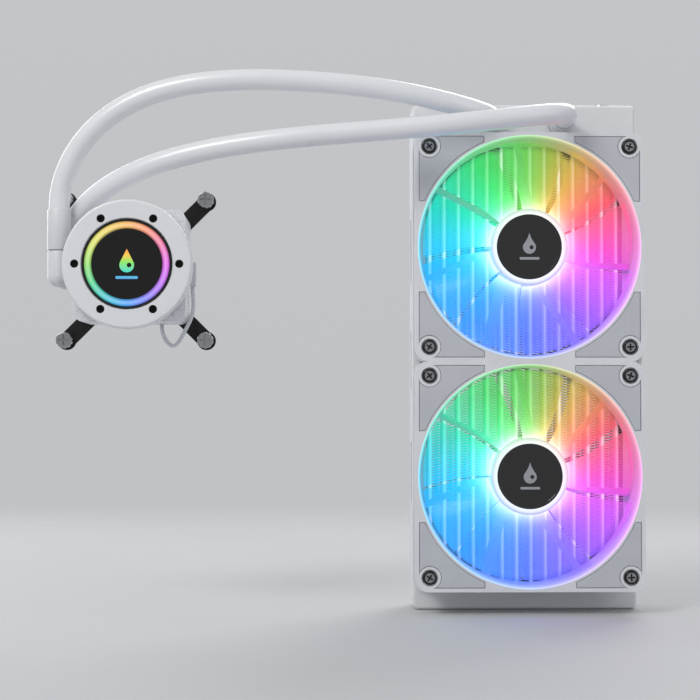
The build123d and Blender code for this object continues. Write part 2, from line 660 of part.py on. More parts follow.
def blade_section(radius, stagger, chord, camber, thickness, skew):
    """Thin cambered section on the plane x = radius, as a closed face."""
    cos, sin = polar(1, stagger)
    count = 9
    upper, lower = [], []
    for i in range(count):
        along = i / (count - 1)
        u = (along - 0.5) * chord
        bulge = 1 - (2 * along - 1) ** 2
        half = thickness * (0.34 + 0.66 * math.sqrt(max(0.0, bulge))) / 2
        for points, sign in ((upper, 1), (lower, -1)):
            v = camber * bulge + sign * half
            points.append((radius, skew + u * cos - v * sin, BLADE_MID_Z + u * sin + v * cos))
    top, bottom = Spline(*upper), Spline(*lower)
    end, start = Line(upper[-1], lower[-1]), Line(upper[0], lower[0])
    return Face(Wire([top, end, bottom, start]))


def fan_rotor():
    blade = loft([blade_section(*station) for station in BLADE_STATIONS])
    blade = largest(blade & rod(BLADE_R, 4.9, 22.2))
    rotor = rod(HUB_R, 4.8, HUB_TOP)
    rotor = fillet(edges_at(rotor, HUB_TOP), 1.6)
    for k in range(BLADE_COUNT):
        rotor += Rot(0, 0, 360 / BLADE_COUNT * k) * blade
    rotor -= rod(18.5, 4, 21.8)
    rotor += rod(3.2, 16.0, 22.0)       # shaft boss
    rotor -= rod(1.52, 15, 21.2)
    rotor -= rod(BADGE_R + 0.15, 22.9, 24)
    return largest(rotor)


def fan_stator():
    z0, z1 = 6.0, 12.5
    core = ring(7.0, 5.35, z0, z1)
    coils = []
    for k in range(4):
        turn = Rot(0, 0, 90 * k)
        core += turn * block(6.5, 13.2, -1.7, 1.7, z0, z1)
        core += ring(14.6, 12.8, z0, z1) & (turn * block(10, 16, -8.2, 8.2, 5, 13))
        coil = block(8.0, 12.2, -3.3, 3.3, 5.2, 13.3) - block(7, 13, -1.75, 1.75, 5.95, 12.55)
        coils.append(turn * coil)
    return group(core, *coils)


def fan_board():
    chips = [Pos(*polar(16.0, 40 * k), 4.55) * Rot(0, 0, 40 * k) * Box(2.6, 2.6, 1.2)
             for k in range(9)]
    return group(ring(17.4, 5.6, 2.65, 3.9), *chips)


def fan_badge():
    badge = rod(BADGE_R, 22.92, BADGE_TOP)
    badge = chamfer(edges_at(badge, BADGE_TOP), 0.25)
    return group(badge, Pos(0, 1.8, 0) * emblem(11.0, BADGE_TOP + 0.02, 23.9))


def fan_screw():
    screw = rod(3.7, FAN_T - 1.58, FAN_T + 0.5) + rod(FAN_SCREW_R, -2.6, FAN_T - 1.4)
    screw = fillet(edges_at(screw, FAN_T + 0.5), 0.7)
    return cut_cross(screw, 0, 0, FAN_T - 0.1, 3.8, 1.6)


fan_pieces = {
    "fan_frame": fan_frame(),
    "fan_rotor": fan_rotor(),
    "fan_badge": fan_badge(),
    "rotor_yoke": ring(18.45, 17.5, 5.2, 21.6),
    "rotor_magnet": ring(17.48, 15.4, 5.6, 15.5),
    "rotor_shaft": rod(1.5, 2.9, 21.1),
    "fan_stator": fan_stator(),
    "fan_board": fan_board(),
}
pads, screws, bearings = [], [], []
for name, fan_y in (("upper_", FAN_PITCH / 2), ("lower_", -FAN_PITCH / 2)):
    place = Pos(0, fan_y, RAD_T)
    for piece, shape in fan_pieces.items():
        parts[name + piece] = place * shape
    bearings.append(place * ring(3.94, 1.53, 3.0, 14.2))
    for side_x, side_y in CORNERS:
        for z in (0.02, FAN_T - 0.98):
            pads.append(place * prism(pad_outline(side_x, side_y), z, z + 0.96))
        # each screw stops at its own angle
        turn = Rot(0, 0, 17 * (side_x + 2 * side_y) + 20)
        screws.append(place * Pos(side_x * HOLE, side_y * HOLE, 0) * turn * fan_screw())
parts["fan_pads"] = group(*pads)
parts["fan_screws"] = group(*screws)
parts["fan_bearings"] = group(*bearings)

# ---------------------------------------------------------------- fan leads
# Stations (x, y, z) down the outside of the right side rail
UPPER_LEAD = [
    (59.2, 24.0, 30.0), (62.4, 16.0, 29.0), (62.1, -10.0, 16.0),
    (62.0, -40.0, 8.6), (62.0, -70.0, 8.0), (62.0, -96.0, 8.0),
]
LOWER_LEAD = [
    (59.2, -64.0, 30.0), (62.6, -70.0, 28.6), (62.2, -82.0, 21.0),
    (62.0, -90.0, 19.0), (62.0, -96.0, 19.0),
]


def fan_lead(points):
    """Lead trimmed where it would enter the fan or the radiator."""
    path = lead(points, 1.5, [(1, -0.3, 0), (0, -1, 0)])
    return largest(path - block(-60.02, 60.02, -140, 140, -1, 60))


def lead_plug(x, y, z):
    """Plug hanging below y, with four slots in its foot and a rib on its right."""
    plug = block(x - 1.9, x + 1.9, y - 13, y, z - 4.6, z + 4.6)
    for k in range(4):
        slot_z = z - 3.9 + 2.2 * k
        plug -= block(x - 0.6, x + 0.6, y - 14, y - 8, slot_z, slot_z + 1.0)
    return plug + block(x + 1.8, x + 2.5, y - 11, y - 3, z - 1.6, z + 1.6)


parts["upper_fan_lead"] = fan_lead(UPPER_LEAD)
parts["lower_fan_lead"] = fan_lead(LOWER_LEAD)
parts["lead_plugs"] = group(
    lead_plug(62.0, -96.05, 8.0), lead_plug(62.0, -96.05, 19.0), at_pump(pump_plug()))

# ---------------------------------------------------------------- export
os.makedirs("parts", exist_ok=True)
for name, shape in parts.items():
    export_step(Rot(90, 0, 0) * shape, "parts/" + name + ".step")
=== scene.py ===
"""Liquid CPU cooler: a radiator with two lit fans, joined by two sleeved hoses to a round pump.

Part frame, used for all dimensions: mm, x right, y up, z out of the front, radiator back at z = 0.
Row frame, used by the scene and the shaders: metres, X right, Z up, front facing -Y.
"""

import math

import bmesh
import bpy
import numpy as np
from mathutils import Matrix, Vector


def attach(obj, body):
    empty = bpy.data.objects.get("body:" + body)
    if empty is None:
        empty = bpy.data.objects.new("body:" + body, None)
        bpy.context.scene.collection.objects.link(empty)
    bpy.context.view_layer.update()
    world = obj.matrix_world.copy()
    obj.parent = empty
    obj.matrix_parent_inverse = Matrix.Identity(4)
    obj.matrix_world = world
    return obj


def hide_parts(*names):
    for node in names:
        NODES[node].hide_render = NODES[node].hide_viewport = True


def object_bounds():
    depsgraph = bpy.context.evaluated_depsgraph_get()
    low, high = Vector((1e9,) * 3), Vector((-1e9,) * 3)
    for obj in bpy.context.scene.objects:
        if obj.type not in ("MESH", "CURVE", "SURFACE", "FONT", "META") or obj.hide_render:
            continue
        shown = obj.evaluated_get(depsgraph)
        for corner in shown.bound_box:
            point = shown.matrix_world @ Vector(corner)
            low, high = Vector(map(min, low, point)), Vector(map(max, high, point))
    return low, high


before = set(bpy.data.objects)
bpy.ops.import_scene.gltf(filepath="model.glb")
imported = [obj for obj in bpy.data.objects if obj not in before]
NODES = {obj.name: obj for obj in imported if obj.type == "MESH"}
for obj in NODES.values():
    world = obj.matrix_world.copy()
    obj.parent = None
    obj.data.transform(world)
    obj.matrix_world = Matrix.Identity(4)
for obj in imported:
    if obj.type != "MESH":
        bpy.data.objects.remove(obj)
cad_lo, cad_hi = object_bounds()
SCENE = bpy.context.scene
TAU = math.tau

# ------------------------------------------------------------------ driving dimensions
MM = 1000.0                       # mm in a metre
PUMP_X, PUMP_Y = -208.1, 49.2
RAD_T = 27.0                      # radiator thickness; the fans stand on this plane
FAN_HALF = 60.0                   # half a fan's width, so also its centre above or below y = 0
FANS = {"upper": FAN_HALF, "lower": -FAN_HALF}
SCREW_OFFSET = 52.5               # fan screws from the fan's centre, in x and in y
HUB_R, BADGE_R, BLADE_R, N_BLADES = 20.2, 17.1, 55.5, 9
TUBE_PITCH, N_TUBES, TUBE_HALF = 7.74, 14, 1.0
SHARP_ANGLE = 34.0                # edges bent by more than this many degrees stay crisp


# ------------------------------------------------------------------ mesh helpers
def to_row(x, y, z):
    """Part frame to row frame."""
    return Vector((x / MM, -z / MM, y / MM))


def mark_sharp(mesh, angle):
    """Smooth faces, with every edge bent by more than the angle kept crisp."""
    bm = bmesh.new()
    bm.from_mesh(mesh)
    bmesh.ops.recalc_face_normals(bm, faces=bm.faces)
    limit = math.radians(angle)
    for face in bm.faces:
        face.smooth = True
    for edge in bm.edges:
        edge.smooth = not (len(edge.link_faces) == 2 and edge.calc_face_angle(0.0) > limit)
    bm.to_mesh(mesh)
    bm.free()


def add_mesh(name, data, material, body, angle=SHARP_ANGLE):
    """Object from (vertices in the part frame, faces), riding on a body."""
    verts, faces = data
    mesh = bpy.data.meshes.new(name)
    mesh.from_pydata([to_row(*v) for v in verts], [], faces)
    mesh.validate()
    mark_sharp(mesh, angle)
    obj = bpy.data.objects.new(name, mesh)
    SCENE.collection.objects.link(obj)
    mesh.materials.append(MATERIALS[material])
    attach(obj, body)
    return obj


def merge(parts):
    """One (vertices, faces) pair from several."""
    verts, faces = [], []
    for part_verts, part_faces in parts:
        first = len(verts)
        verts += part_verts
        faces += [tuple(i + first for i in face) for face in part_faces]
    return verts, faces


def weld(verts, faces, distance=0.0005):
    """Join vertices closer than the distance."""
    bm = bmesh.new()
    bm_verts = [bm.verts.new(v) for v in verts]
    for face in faces:
        try:
            bm.faces.new([bm_verts[i] for i in face])
        except ValueError:
            pass                  # guards against a face that repeats one already made
    bmesh.ops.remove_doubles(bm, verts=bm.verts, dist=distance)
    bm.verts.index_update()
    out = [tuple(v.co) for v in bm.verts], [tuple(v.index for v in f.verts) for f in bm.faces]
    bm.free()
    return out


def prism(outlines, z0, z1):
    """Flat piece from z0 to z1. The first outline is its edge and any others are holes."""
    curve = bpy.data.curves.new("outline", "CURVE")
    curve.dimensions, curve.fill_mode = "2D", "BOTH"
    curve.extrude = (z1 - z0) / 2
    for points in outlines:
        spline = curve.splines.new("POLY")
        spline.points.add(len(points) - 1)
        for i, (x, y) in enumerate(points):
            spline.points[i].co = (x, y, 0, 1)
        spline.use_cyclic_u = True
    temp = bpy.data.objects.new("outline", curve)
    SCENE.collection.objects.link(temp)
    bpy.context.view_layer.update()
    evaluated = temp.evaluated_get(bpy.context.evaluated_depsgraph_get())
    mesh = bpy.data.meshes.new_from_object(evaluated)
    verts = [(v.co.x, v.co.y, v.co.z + (z0 + z1) / 2) for v in mesh.vertices]
    faces = [tuple(p.vertices) for p in mesh.polygons]
    bpy.data.objects.remove(temp)
    bpy.data.curves.remove(curve)
    bpy.data.meshes.remove(mesh)
    return weld(verts, faces)


def lathe(profile, centre_y, segs=144):
    """Closed (r, z) profile turned about the fan's axis, z measured from the fan's back.

    Profile points with r = 0 lie on the axis and are shared.
    """
    verts, faces, rows = [], [], []
    on_axis = {}
    for k, (r, z) in enumerate(profile):
        if r == 0:
            on_axis[k] = len(verts)
            verts.append((0, centre_y, RAD_T + z))
    for i in range(segs):
        cos, sin = math.cos(TAU * i / segs), math.sin(TAU * i / segs)
        row = []
        for k, (r, z) in enumerate(profile):
            if k in on_axis:
                row.append(on_axis[k])
            else:
                row.append(len(verts))
                verts.append((r * cos, centre_y + r * sin, RAD_T + z))
        rows.append(row)
    for i in range(segs):
        a, b = rows[i], rows[(i + 1) % segs]
        for k in range(len(profile)):
            m = (k + 1) % len(profile)
            if k in on_axis and m in on_axis:
                continue
            quad = [a[k], b[k], b[m], a[m]]
            face = [v for j, v in enumerate(quad) if v not in quad[:j]]
            if len(face) > 2:
                faces.append(tuple(face))
    return verts, faces


def arc(cx, cy, r, start, end, n):
    """n + 1 points from the start angle to the end angle, in degrees."""
    angles = [math.radians(start + (end - start) * i / n) for i in range(n + 1)]
    return [(cx + r * math.cos(a), cy + r * math.sin(a)) for a in angles]


def tube(path, outer_r, inner_r, segs):
    """Hollow tube along a path, with a ring that turns as little as possible on the way."""
    path = [Vector(p) for p in path]
    last = len(path) - 1
    tangents = [(path[min(i + 1, last)] - path[max(i - 1, 0)]).normalized()
                for i in range(last + 1)]
    side = tangents[0].orthogonal().normalized()
    verts, faces = [], []
    for point, tangent in zip(path, tangents):
        side = (side - tangent * side.dot(tangent)).normalized()
        across = tangent.cross(side)
        for r in (outer_r, inner_r):
            for k in range(segs):
                a = TAU * k / segs
                verts.append(tuple(point + (side * math.cos(a) + across * math.sin(a)) * r))
    n = 2 * segs
    for i in range(last):
        a, b = i * n, (i + 1) * n
        for k in range(segs):
            m = (k + 1) % segs
            faces.append((a + k, a + m, b + m, b + k))
            faces.append((a + segs + m, a + segs + k, b + segs + k, b + segs + m))
    for base in (0, last * n):
        for k in range(segs):
            m = (k + 1) % segs
            faces.append((base + k, base + m, base + segs + m, base + segs + k))
    return verts, faces


# ------------------------------------------------------------------ shader graph helpers
WHITE = (1.0, 1.0, 1.0)
MATERIALS = {}


def linear(colour):
    """Display colour to linear."""
    return tuple(((x / 12.92) if x <= 0.04045 else ((x + 0.055) / 1.055) ** 2.4) for x in colour)


class Graph:
    """Node tree of a material or world. Values may be plain numbers, tuples or output sockets."""

    def __init__(self, owner):
        owner.use_nodes = True
        self.tree = owner.node_tree
        self.tree.nodes.clear()

    def feed(self, socket, value):
        if isinstance(value, bpy.types.NodeSocket):
            self.tree.links.new(value, socket)
        else:
            socket.default_value = (*value, 1) if socket.type == "RGBA" else value

    def node(self, kind, inputs=None, **settings):
        node = self.tree.nodes.new("ShaderNode" + kind)
        for key, value in settings.items():
            setattr(node, key, value)
        for key, value in (inputs or {}).items():
            self.feed(node.inputs[key], value)
        return node

    def math(self, operation, *values, clamp=False):
        inputs = dict(enumerate(values))
        return self.node("Math", inputs, operation=operation, use_clamp=clamp).outputs[0]

    def add(self, a, b):
        return self.math("ADD", a, b)

    def sub(self, a, b):
        return self.math("SUBTRACT", a, b)

    def mul(self, a, b):
        return self.math("MULTIPLY", a, b)

    def div(self, a, b):
        return self.math("DIVIDE", a, b)

    def scaled(self, value, by, plus, clamp=False):
        return self.math("MULTIPLY_ADD", value, by, plus, clamp=clamp)

    def mix(self, a, b, amount, blend="MIX"):
        inputs = {0: amount, 6: a, 7: b}
        return self.node("Mix", inputs, data_type="RGBA", blend_type=blend).outputs[2]

    def mix_shader(self, a, b, amount):
        return self.node("MixShader", {0: amount, 1: a, 2: b}).outputs[0]

    def ramp(self, factor, stops, interpolation="LINEAR"):
        """Colour ramp from (position, linear colour) stops."""
        node = self.node("ValToRGB", {0: factor})
        node.color_ramp.interpolation = interpolation
        elements = node.color_ramp.elements
        while len(elements) > 1:
            elements.remove(elements[-1])
        elements[0].position, elements[0].color = stops[0][0], (*stops[0][1], 1)
        for position, colour in stops[1:]:
            elements.new(position).color = (*colour, 1)
        return node.outputs[0]

    def greys(self, factor, *stops, interpolation="LINEAR"):
        """Ramp from (position, level) stops."""
        return self.ramp(factor, [(at, (level,) * 3) for at, level in stops], interpolation)

    def wheel(self, turn, colours):
        """Ring of evenly spaced display colours, picked by a turn from 0 to 1."""
        n = len(colours)
        stops = [(i / n, linear(colours[i])) for i in range(n)]
        return self.ramp(turn, stops + [(1.0, linear(colours[0]))])

    def object_coords(self):
        return self.node("TexCoord").outputs["Object"]

    def noise(self, vector, scale, detail):
        inputs = {"Vector": vector, "Scale": scale, "Detail": detail}
        return self.node("TexNoise", inputs).outputs[0]

    def bump(self, scale, strength, detail, stretch=(1, 1, 1)):
        """(normal, noise) of a fine grain."""
        mapping = self.node("Mapping", {0: self.object_coords(), "Scale": stretch})
        noise = self.noise(mapping.outputs[0], scale, detail)
        inputs = {"Strength": strength, "Distance": 0.0002, "Height": noise}
        return self.node("Bump", inputs).outputs[0], noise

    def position(self):
        """X, Y and Z outputs of the shaded point, in the row frame."""
        point = self.node("NewGeometry").outputs["Position"]
        return self.node("SeparateXYZ", {0: point}).outputs

    def polar(self, dx, dz):
        """(radius in mm, turn 0..1 from the right, counterclockwise) of an offset in metres."""
        radius = self.math("SQRT", self.add(self.mul(dx, dx), self.mul(dz, dz)))
        turn = self.div(self.math("ARCTAN2", dz, dx), TAU)
        return self.mul(radius, MM), self.math("FRACT", self.add(turn, 1.0))

    def fan_polar(self):
        """(radius, turn, position) about whichever fan the point belongs to."""
        pos = self.position()
        side = self.math("SIGN", pos[2])
        dz = self.sub(pos[2], self.mul(side, FAN_HALF / MM))
        return (*self.polar(pos[0], dz), pos)

    def by_radius(self, radius, *stops):
        """Levels along a fan's radius, with stops placed as fractions of FAN_HALF."""
        return self.greys(self.div(radius, FAN_HALF), *stops)

    def forward(self, pos):
        """mm in front of the radiator's back."""
        return self.mul(pos[1], -MM)

    # These three work on the principled shader that surface() makes.
    def recolour(self, colour, amount, blend="MIX"):
        base = self.bsdf.inputs["Base Color"]
        self.feed(base, self.mix(base.links[0].from_socket, colour, amount, blend))

    def tint(self, hue, amount):
        """Coloured light falling on the part: its own colour is multiplied by the hue."""
        self.recolour(hue, amount, "MULTIPLY")

    def glow(self, colour, level):
        self.feed(self.bsdf.inputs["Emission Color"], colour)
        self.feed(self.bsdf.inputs["Emission Strength"], level)


def new_material(name):
    MATERIALS[name] = bpy.data.materials.new(name)
    return Graph(MATERIALS[name])


def surface(name, colour, rough=0.4, metal=0.0, coat=0.0, var=0.04, scale=260.0, grain=0.12,
            rough_var=0.08, stretch=(1, 1, 1), spec=0.5, painted_shade=0.0):
    """Procedural surface in a display colour: colour and roughness drift with noise.

    var and rough_var are the drift, grain is the strength of the bump, and the ambient occlusion
    strength darkens recesses with painted shade.
    """
    g = new_material(name)
    normal, _ = g.bump(scale * 6, grain, detail=4.0, stretch=stretch)
    drift = g.noise(g.object_coords(), scale / 8, detail=5.0)
    base = linear(colour)
    low = tuple(max(0.0, x * (1 - var)) for x in base)
    high = tuple(min(1.0, x * (1 + var)) for x in base)
    shade = g.ramp(drift, [(0.3, low), (0.7, high)])
    # painted shade: ambient occlusion mixes a darker copy of the colour into recesses
    if painted_shade:
        openness = g.node("AmbientOcclusion", {"Distance": 0.004}, samples=6).outputs["AO"]
        recess_shade = tuple(x * 0.35 for x in base)
        shade = g.mix(shade, recess_shade, amount=g.mul(g.sub(1.0, openness), painted_shade))
    g.bsdf = g.node("BsdfPrincipled", {
        "Base Color": shade,
        "Roughness": g.scaled(drift, by=rough_var * 2, plus=rough - rough_var),
        "Normal": normal,
        "Metallic": metal,
        "Coat Weight": coat,
        "Coat Roughness": 0.12,
        "Specular IOR Level": spec,
    })
    g.node("OutputMaterial", {0: g.bsdf.outputs[0]})
    return g


# ------------------------------------------------------------------ lit materials
# Display colours by angle from the right, counterclockwise: round the fans, and round the pump.
FAN_WHEEL = [
    (0.94, 0.38, 0.80), (0.95, 0.45, 0.50), (0.85, 0.72, 0.34), (0.48, 0.82, 0.38),
    (0.28, 0.86, 0.52), (0.18, 0.86, 0.76), (0.16, 0.82, 0.94), (0.20, 0.74, 0.99),
    (0.30, 0.66, 1.00), (0.44, 0.58, 1.00), (0.62, 0.50, 1.00), (0.82, 0.44, 0.98),
]
PUMP_WHEEL = [
    (0.90, 0.36, 0.92), (0.95, 0.46, 0.66), (0.98, 0.58, 0.42), (0.98, 0.74, 0.34),
    (0.94, 0.84, 0.34), (0.86, 0.90, 0.36), (0.58, 0.88, 0.36), (0.22, 0.84, 0.56),
    (0.14, 0.78, 0.84), (0.20, 0.64, 0.98), (0.48, 0.48, 0.98), (0.74, 0.40, 0.97),
]
# Colours up the pump's emblem: position from bottom to top, display colour.
EMBLEM_COLOURS = [
    (0.0, (0.35, 0.45, 1.0)), (0.3, (0.25, 0.85, 0.75)), (0.55, (0.55, 0.9, 0.35)),
    (0.75, (1.0, 0.75, 0.25)), (1.0, (1.0, 0.45, 0.3)),
]
EMBLEM_HALF = 10.0                # half the height the emblem's colours run over
RING_INNER, RING_WIDTH = 18.15, 3.55
DUCT_FADE_Z, DUCT_FADE_LENGTH = 47.0, 6.0   # where the duct's glow starts to rise, and how far
SCREW_RECESS_SHADE_Z = RAD_T + 24.6     # from here forward the painted shade on the recessed part of a fan screw fades out
# black of the ring round a fan screw's head, also used as painted shade on its recessed part
SCREW_RING_AND_SHADE_BLACK = (0.07, 0.07, 0.075)


def lit_blade():
    """Milky plastic: part see-through, part scattering, and glowing in the wheel's colours."""
    g = new_material("lit_blade")
    radius, turn, _ = g.fan_polar()
    hue = g.wheel(turn, FAN_WHEEL)
    # whiter near the hub
    white = g.by_radius(radius, (0.0, 0.9), (0.335, 0.62), (0.375, 0.34), (0.46, 0.09), (0.62, 0.0))
    colour = g.mix(hue, WHITE, amount=white)
    level = g.by_radius(radius, (0.0, 0.7), (0.34, 0.66), (0.42, 0.40), (0.55, 0.24),
                        (0.80, 0.16), (0.95, 0.20))
    normal, noise = g.bump(scale=900.0, strength=0.08, detail=3.0)
    # faces turned away from the viewer gather more light
    facing = g.node("LayerWeight", {"Blend": 0.35}).outputs["Facing"]
    edge = g.scaled(facing, by=0.45, plus=0.80)
    gain = 1.15
    emission = g.node("Emission", {0: colour, 1: g.mul(g.mul(level, edge), gain)})
    plastic = g.node("BsdfPrincipled", {
        "Base Color": g.mix(hue, (0.8, 0.8, 0.8), amount=0.12),
        "Roughness": g.scaled(noise, by=0.12, plus=0.16),
        "Coat Weight": 0.35,
        "Coat Roughness": 0.08,
        "Normal": normal,
    })
    milky = g.node("BsdfTranslucent", {0: g.mix(colour, (0.9, 0.9, 0.92), amount=0.10)})
    clear = g.node("BsdfTransparent", {0: g.mix((0.97, 0.975, 0.985), colour, amount=0.22)})
    solid = g.mix_shader(plastic.outputs[0], milky.outputs[0], amount=0.45)
    see_through = g.scaled(facing, by=-0.30, plus=0.80, clamp=True)
    body = g.mix_shader(solid, clear.outputs[0], amount=see_through)
    total = g.node("AddShader", {0: body, 1: emission.outputs[0]})
    g.node("OutputMaterial", {0: total.outputs[0]})


def hub_glow(g):
    """The cup's rim round the badge is brightest; its edge picks up the wheel's colours."""
    radius, turn, _ = g.fan_polar()
    hue = g.wheel(turn, FAN_WHEEL)
    white = g.by_radius(radius, (0.285, 0.85), (0.31, 0.70), (0.338, 0.38))
    level = g.by_radius(radius, (0.26, 0.0), (0.286, 0.86), (0.312, 0.70), (0.338, 0.46))
    g.glow(g.mix(hue, WHITE, amount=white), level)


def duct_glow(g):
    """Light on the duct's wall and the thin flare at its mouth; plain plastic outside that."""
    radius, turn, pos = g.fan_polar()
    hue = g.wheel(turn, FAN_WHEEL)
    depth = g.div(g.sub(g.forward(pos), DUCT_FADE_Z), DUCT_FADE_LENGTH)
    wall = g.by_radius(radius, (0.0, 0.30), (0.40, 0.62), (0.90, 0.50), (0.945, 0.42),
                       (0.964, 0.55), (0.968, 1.0), (0.9725, 1.0), (0.9745, 0.0))
    front = g.greys(depth, (0.0, 0.5), (0.55, 0.75), (0.95, 1.0))
    inside = g.by_radius(radius, (0.30, 0.0), (0.34, 0.80), (0.94, 0.75), (0.9725, 0.35),
                         (0.975, 0.0))
    g.tint(hue, inside)
    g.glow(g.mix(hue, WHITE, amount=0.18), g.mul(wall, front))


def core_light(g):
    """(hue, level) of the fans' light on the core, strongest on the side that faces them."""
    radius, turn, pos = g.fan_polar()
    hue = g.wheel(turn, FAN_WHEEL)
    depth = g.greys(g.div(g.forward(pos), RAD_T), (0.20, 0.0), (0.50, 0.38), (0.80, 0.90),
                    (0.88, 1.0))
    ring = g.by_radius(radius, (0.30, 1.0), (0.45, 0.80), (0.90, 0.66), (0.945, 0.22), (0.975, 0.0))
    side = g.greys(g.div(g.math("ABSOLUTE", pos[0]), FAN_HALF / MM), (0.86, 1.0), (0.955, 0.12))
    return hue, g.mul(g.mul(depth, ring), side)


def tube_glow(g):
    """Brightest along the middle of each tube's nose, fading to its rounded shoulders."""
    hue, light = core_light(g)
    pitches = g.div(g.position()[0], TUBE_PITCH / MM)
    off_middle = g.math("ABSOLUTE", g.sub(g.math("FRACT", pitches), 0.5))
    nose = g.greys(g.mul(off_middle, TUBE_PITCH), (0.30, 1.0), (0.62, 0.72), (0.95, 0.25))
    most_white = 0.46
    g.tint(hue, light)
    g.glow(g.mix(hue, WHITE, amount=g.mul(nose, most_white)),
           g.mul(light, g.scaled(nose, by=0.50, plus=0.72)))


def fin_glow(g):
    hue, light = core_light(g)
    gain = 0.98
    g.tint(hue, light)
    g.glow(hue, g.mul(light, gain))


def ring_glow(g):
    """Pump's light ring: dimmer at both edges, a little whiter along its middle."""
    pos = g.position()
    radius, turn = g.polar(g.sub(pos[0], PUMP_X / MM), g.sub(pos[2], PUMP_Y / MM))
    hue = g.wheel(turn, PUMP_WHEEL)

    def across(*stops):
        return g.greys(g.div(g.sub(radius, RING_INNER), RING_WIDTH), *stops)

    band = across((0.0, 0.35), (0.3, 1.0), (0.75, 1.0), (1.0, 0.45))
    middle = across((0.15, 0.0), (0.5, 0.20), (0.85, 0.0))
    gain = 0.98
    g.glow(g.mix(hue, WHITE, amount=middle), g.mul(band, gain))


def emblem_glow(g):
    bottom = (PUMP_Y - EMBLEM_HALF) / MM
    height = g.div(g.sub(g.position()[2], bottom), 2 * EMBLEM_HALF / MM)
    colour = g.ramp(height, [(at, linear(display)) for at, display in EMBLEM_COLOURS])
    g.glow(colour, g.add(1.0, 0.0))            # constant full strength


def fan_screw():
    """Steel in the middle of the head, with a black ring round it and painted shade on its recessed
    part.
    """
    # painted shade: ambient occlusion darkens the screw's recesses
    g = surface("fan_screw", (0.60, 0.60, 0.62), rough=0.30, metal=0.75, grain=0.10, scale=700.0,
                var=0.08, painted_shade=0.9)
    pos = g.position()
    from_fan = g.math("ABSOLUTE", g.sub(g.math("ABSOLUTE", pos[2]), FAN_HALF / MM))
    dx = g.sub(g.math("ABSOLUTE", pos[0]), SCREW_OFFSET / MM)
    dz = g.sub(from_fan, SCREW_OFFSET / MM)
    radius = g.mul(g.math("SQRT", g.add(g.mul(dx, dx), g.mul(dz, dz))), MM)
    head_scale = 4.0                           # mm that the rim's stops are fractions of
    rim = g.greys(g.div(radius, head_scale), (0.60, 0.0), (0.64, 1.0))
    # painted shade: the recessed part of the screw goes black towards the back
    recess_shade = g.greys(g.sub(g.forward(pos), SCREW_RECESS_SHADE_Z), (0.35, 1.0), (0.7, 0.0))
    # black ring and painted shade together
    black_ring_and_shade = g.math("MAXIMUM", rim, recess_shade)
    g.recolour(linear(SCREW_RING_AND_SHADE_BLACK), black_ring_and_shade)
    g.feed(g.bsdf.inputs["Metallic"], g.scaled(black_ring_and_shade, by=-0.6, plus=0.75))


def lit_surface(name, colour, add_glow, grain=0.08, var=0.03, **look):
    add_glow(surface(name, colour, grain=grain, var=var, **look))


